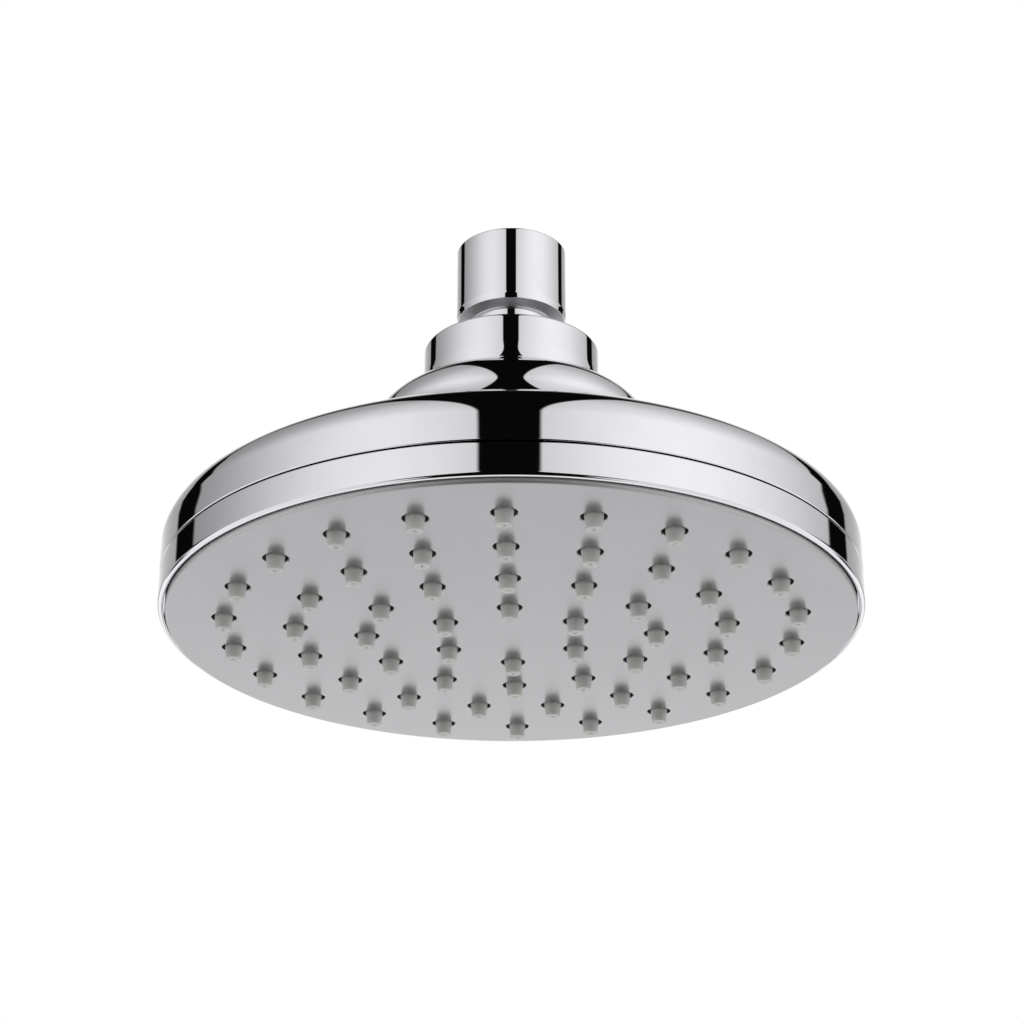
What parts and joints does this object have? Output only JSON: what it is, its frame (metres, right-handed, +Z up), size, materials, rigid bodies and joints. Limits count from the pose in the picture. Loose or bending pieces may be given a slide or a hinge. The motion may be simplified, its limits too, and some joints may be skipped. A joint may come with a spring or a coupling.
{
  "type": "shower head",
  "caption": "Round overhead rain shower head with a satin face, soft nozzles and a ball joint under its pipe inlet.",
  "frame": {"origin": "under the middle of the round face, level with the lowest nozzle tips", "axes": "+Z up along the head's axis, towards the inlet; the face looks down; -Y is the side that the picture shows nearest"},
  "size_m": [0.15, 0.15, 0.0961],
  "materials": {
    "inlet_chrome": "polished plating on brass",
    "shell_chrome": "polished plating on moulded plastic",
    "satin_steel": "satin",
    "grey_silicone": "matte silicone",
    "black_rubber": "matte",
    "white_nylon": "moulded",
    "black_moulding": "moulded",
    "plain_steel": "plain stainless"
  },
  "bodies": {
    "inlet": {"inlet_connector": "inlet_chrome", "inlet_washer": "black_rubber", "inlet_strainer": "plain_steel"},
    "ball_swivel": {"flow_limiter": "white_nylon"},
    "ball_seat": {"ball_seal": "black_rubber", "seal_backing_ring": "plain_steel"},
    "head": {"split_ring": "white_nylon", "collar_nut": "shell_chrome", "body_shell": "shell_chrome", "chamber_seal": "black_rubber", "rim_ring": "shell_chrome", "face_plate": "satin_steel", "nozzle_mat": "grey_silicone", "backing_plate": "black_moulding", "cover_screw_1": "plain_steel", "cover_screw_2": "plain_steel", "cover_screw_3": "plain_steel", "cover_screw_4": "plain_steel", "cover_screw_5": "plain_steel", "cover_screw_6": "plain_steel", "cover_screw_7": "plain_steel", "cover_screw_8": "plain_steel"}
  },
  "joints": [
    {"name": "inlet_swivel", "type": "hinge", "parent": "inlet", "child": "ball_swivel", "pos_m": [0, 0, 0.06046], "axis": [0, 0, 1], "continuous": true},
    {"name": "ball_tilt", "type": "hinge", "parent": "ball_swivel", "child": "ball_seat", "pos_m": [0, 0, 0.06046], "axis": [1, 0, 0], "range_deg": [-15, 15]},
    {"name": "head_spin", "type": "hinge", "parent": "ball_seat", "child": "head", "pos_m": [0, 0, 0.06046], "axis": [0, 0, 1], "continuous": true}
  ]
}
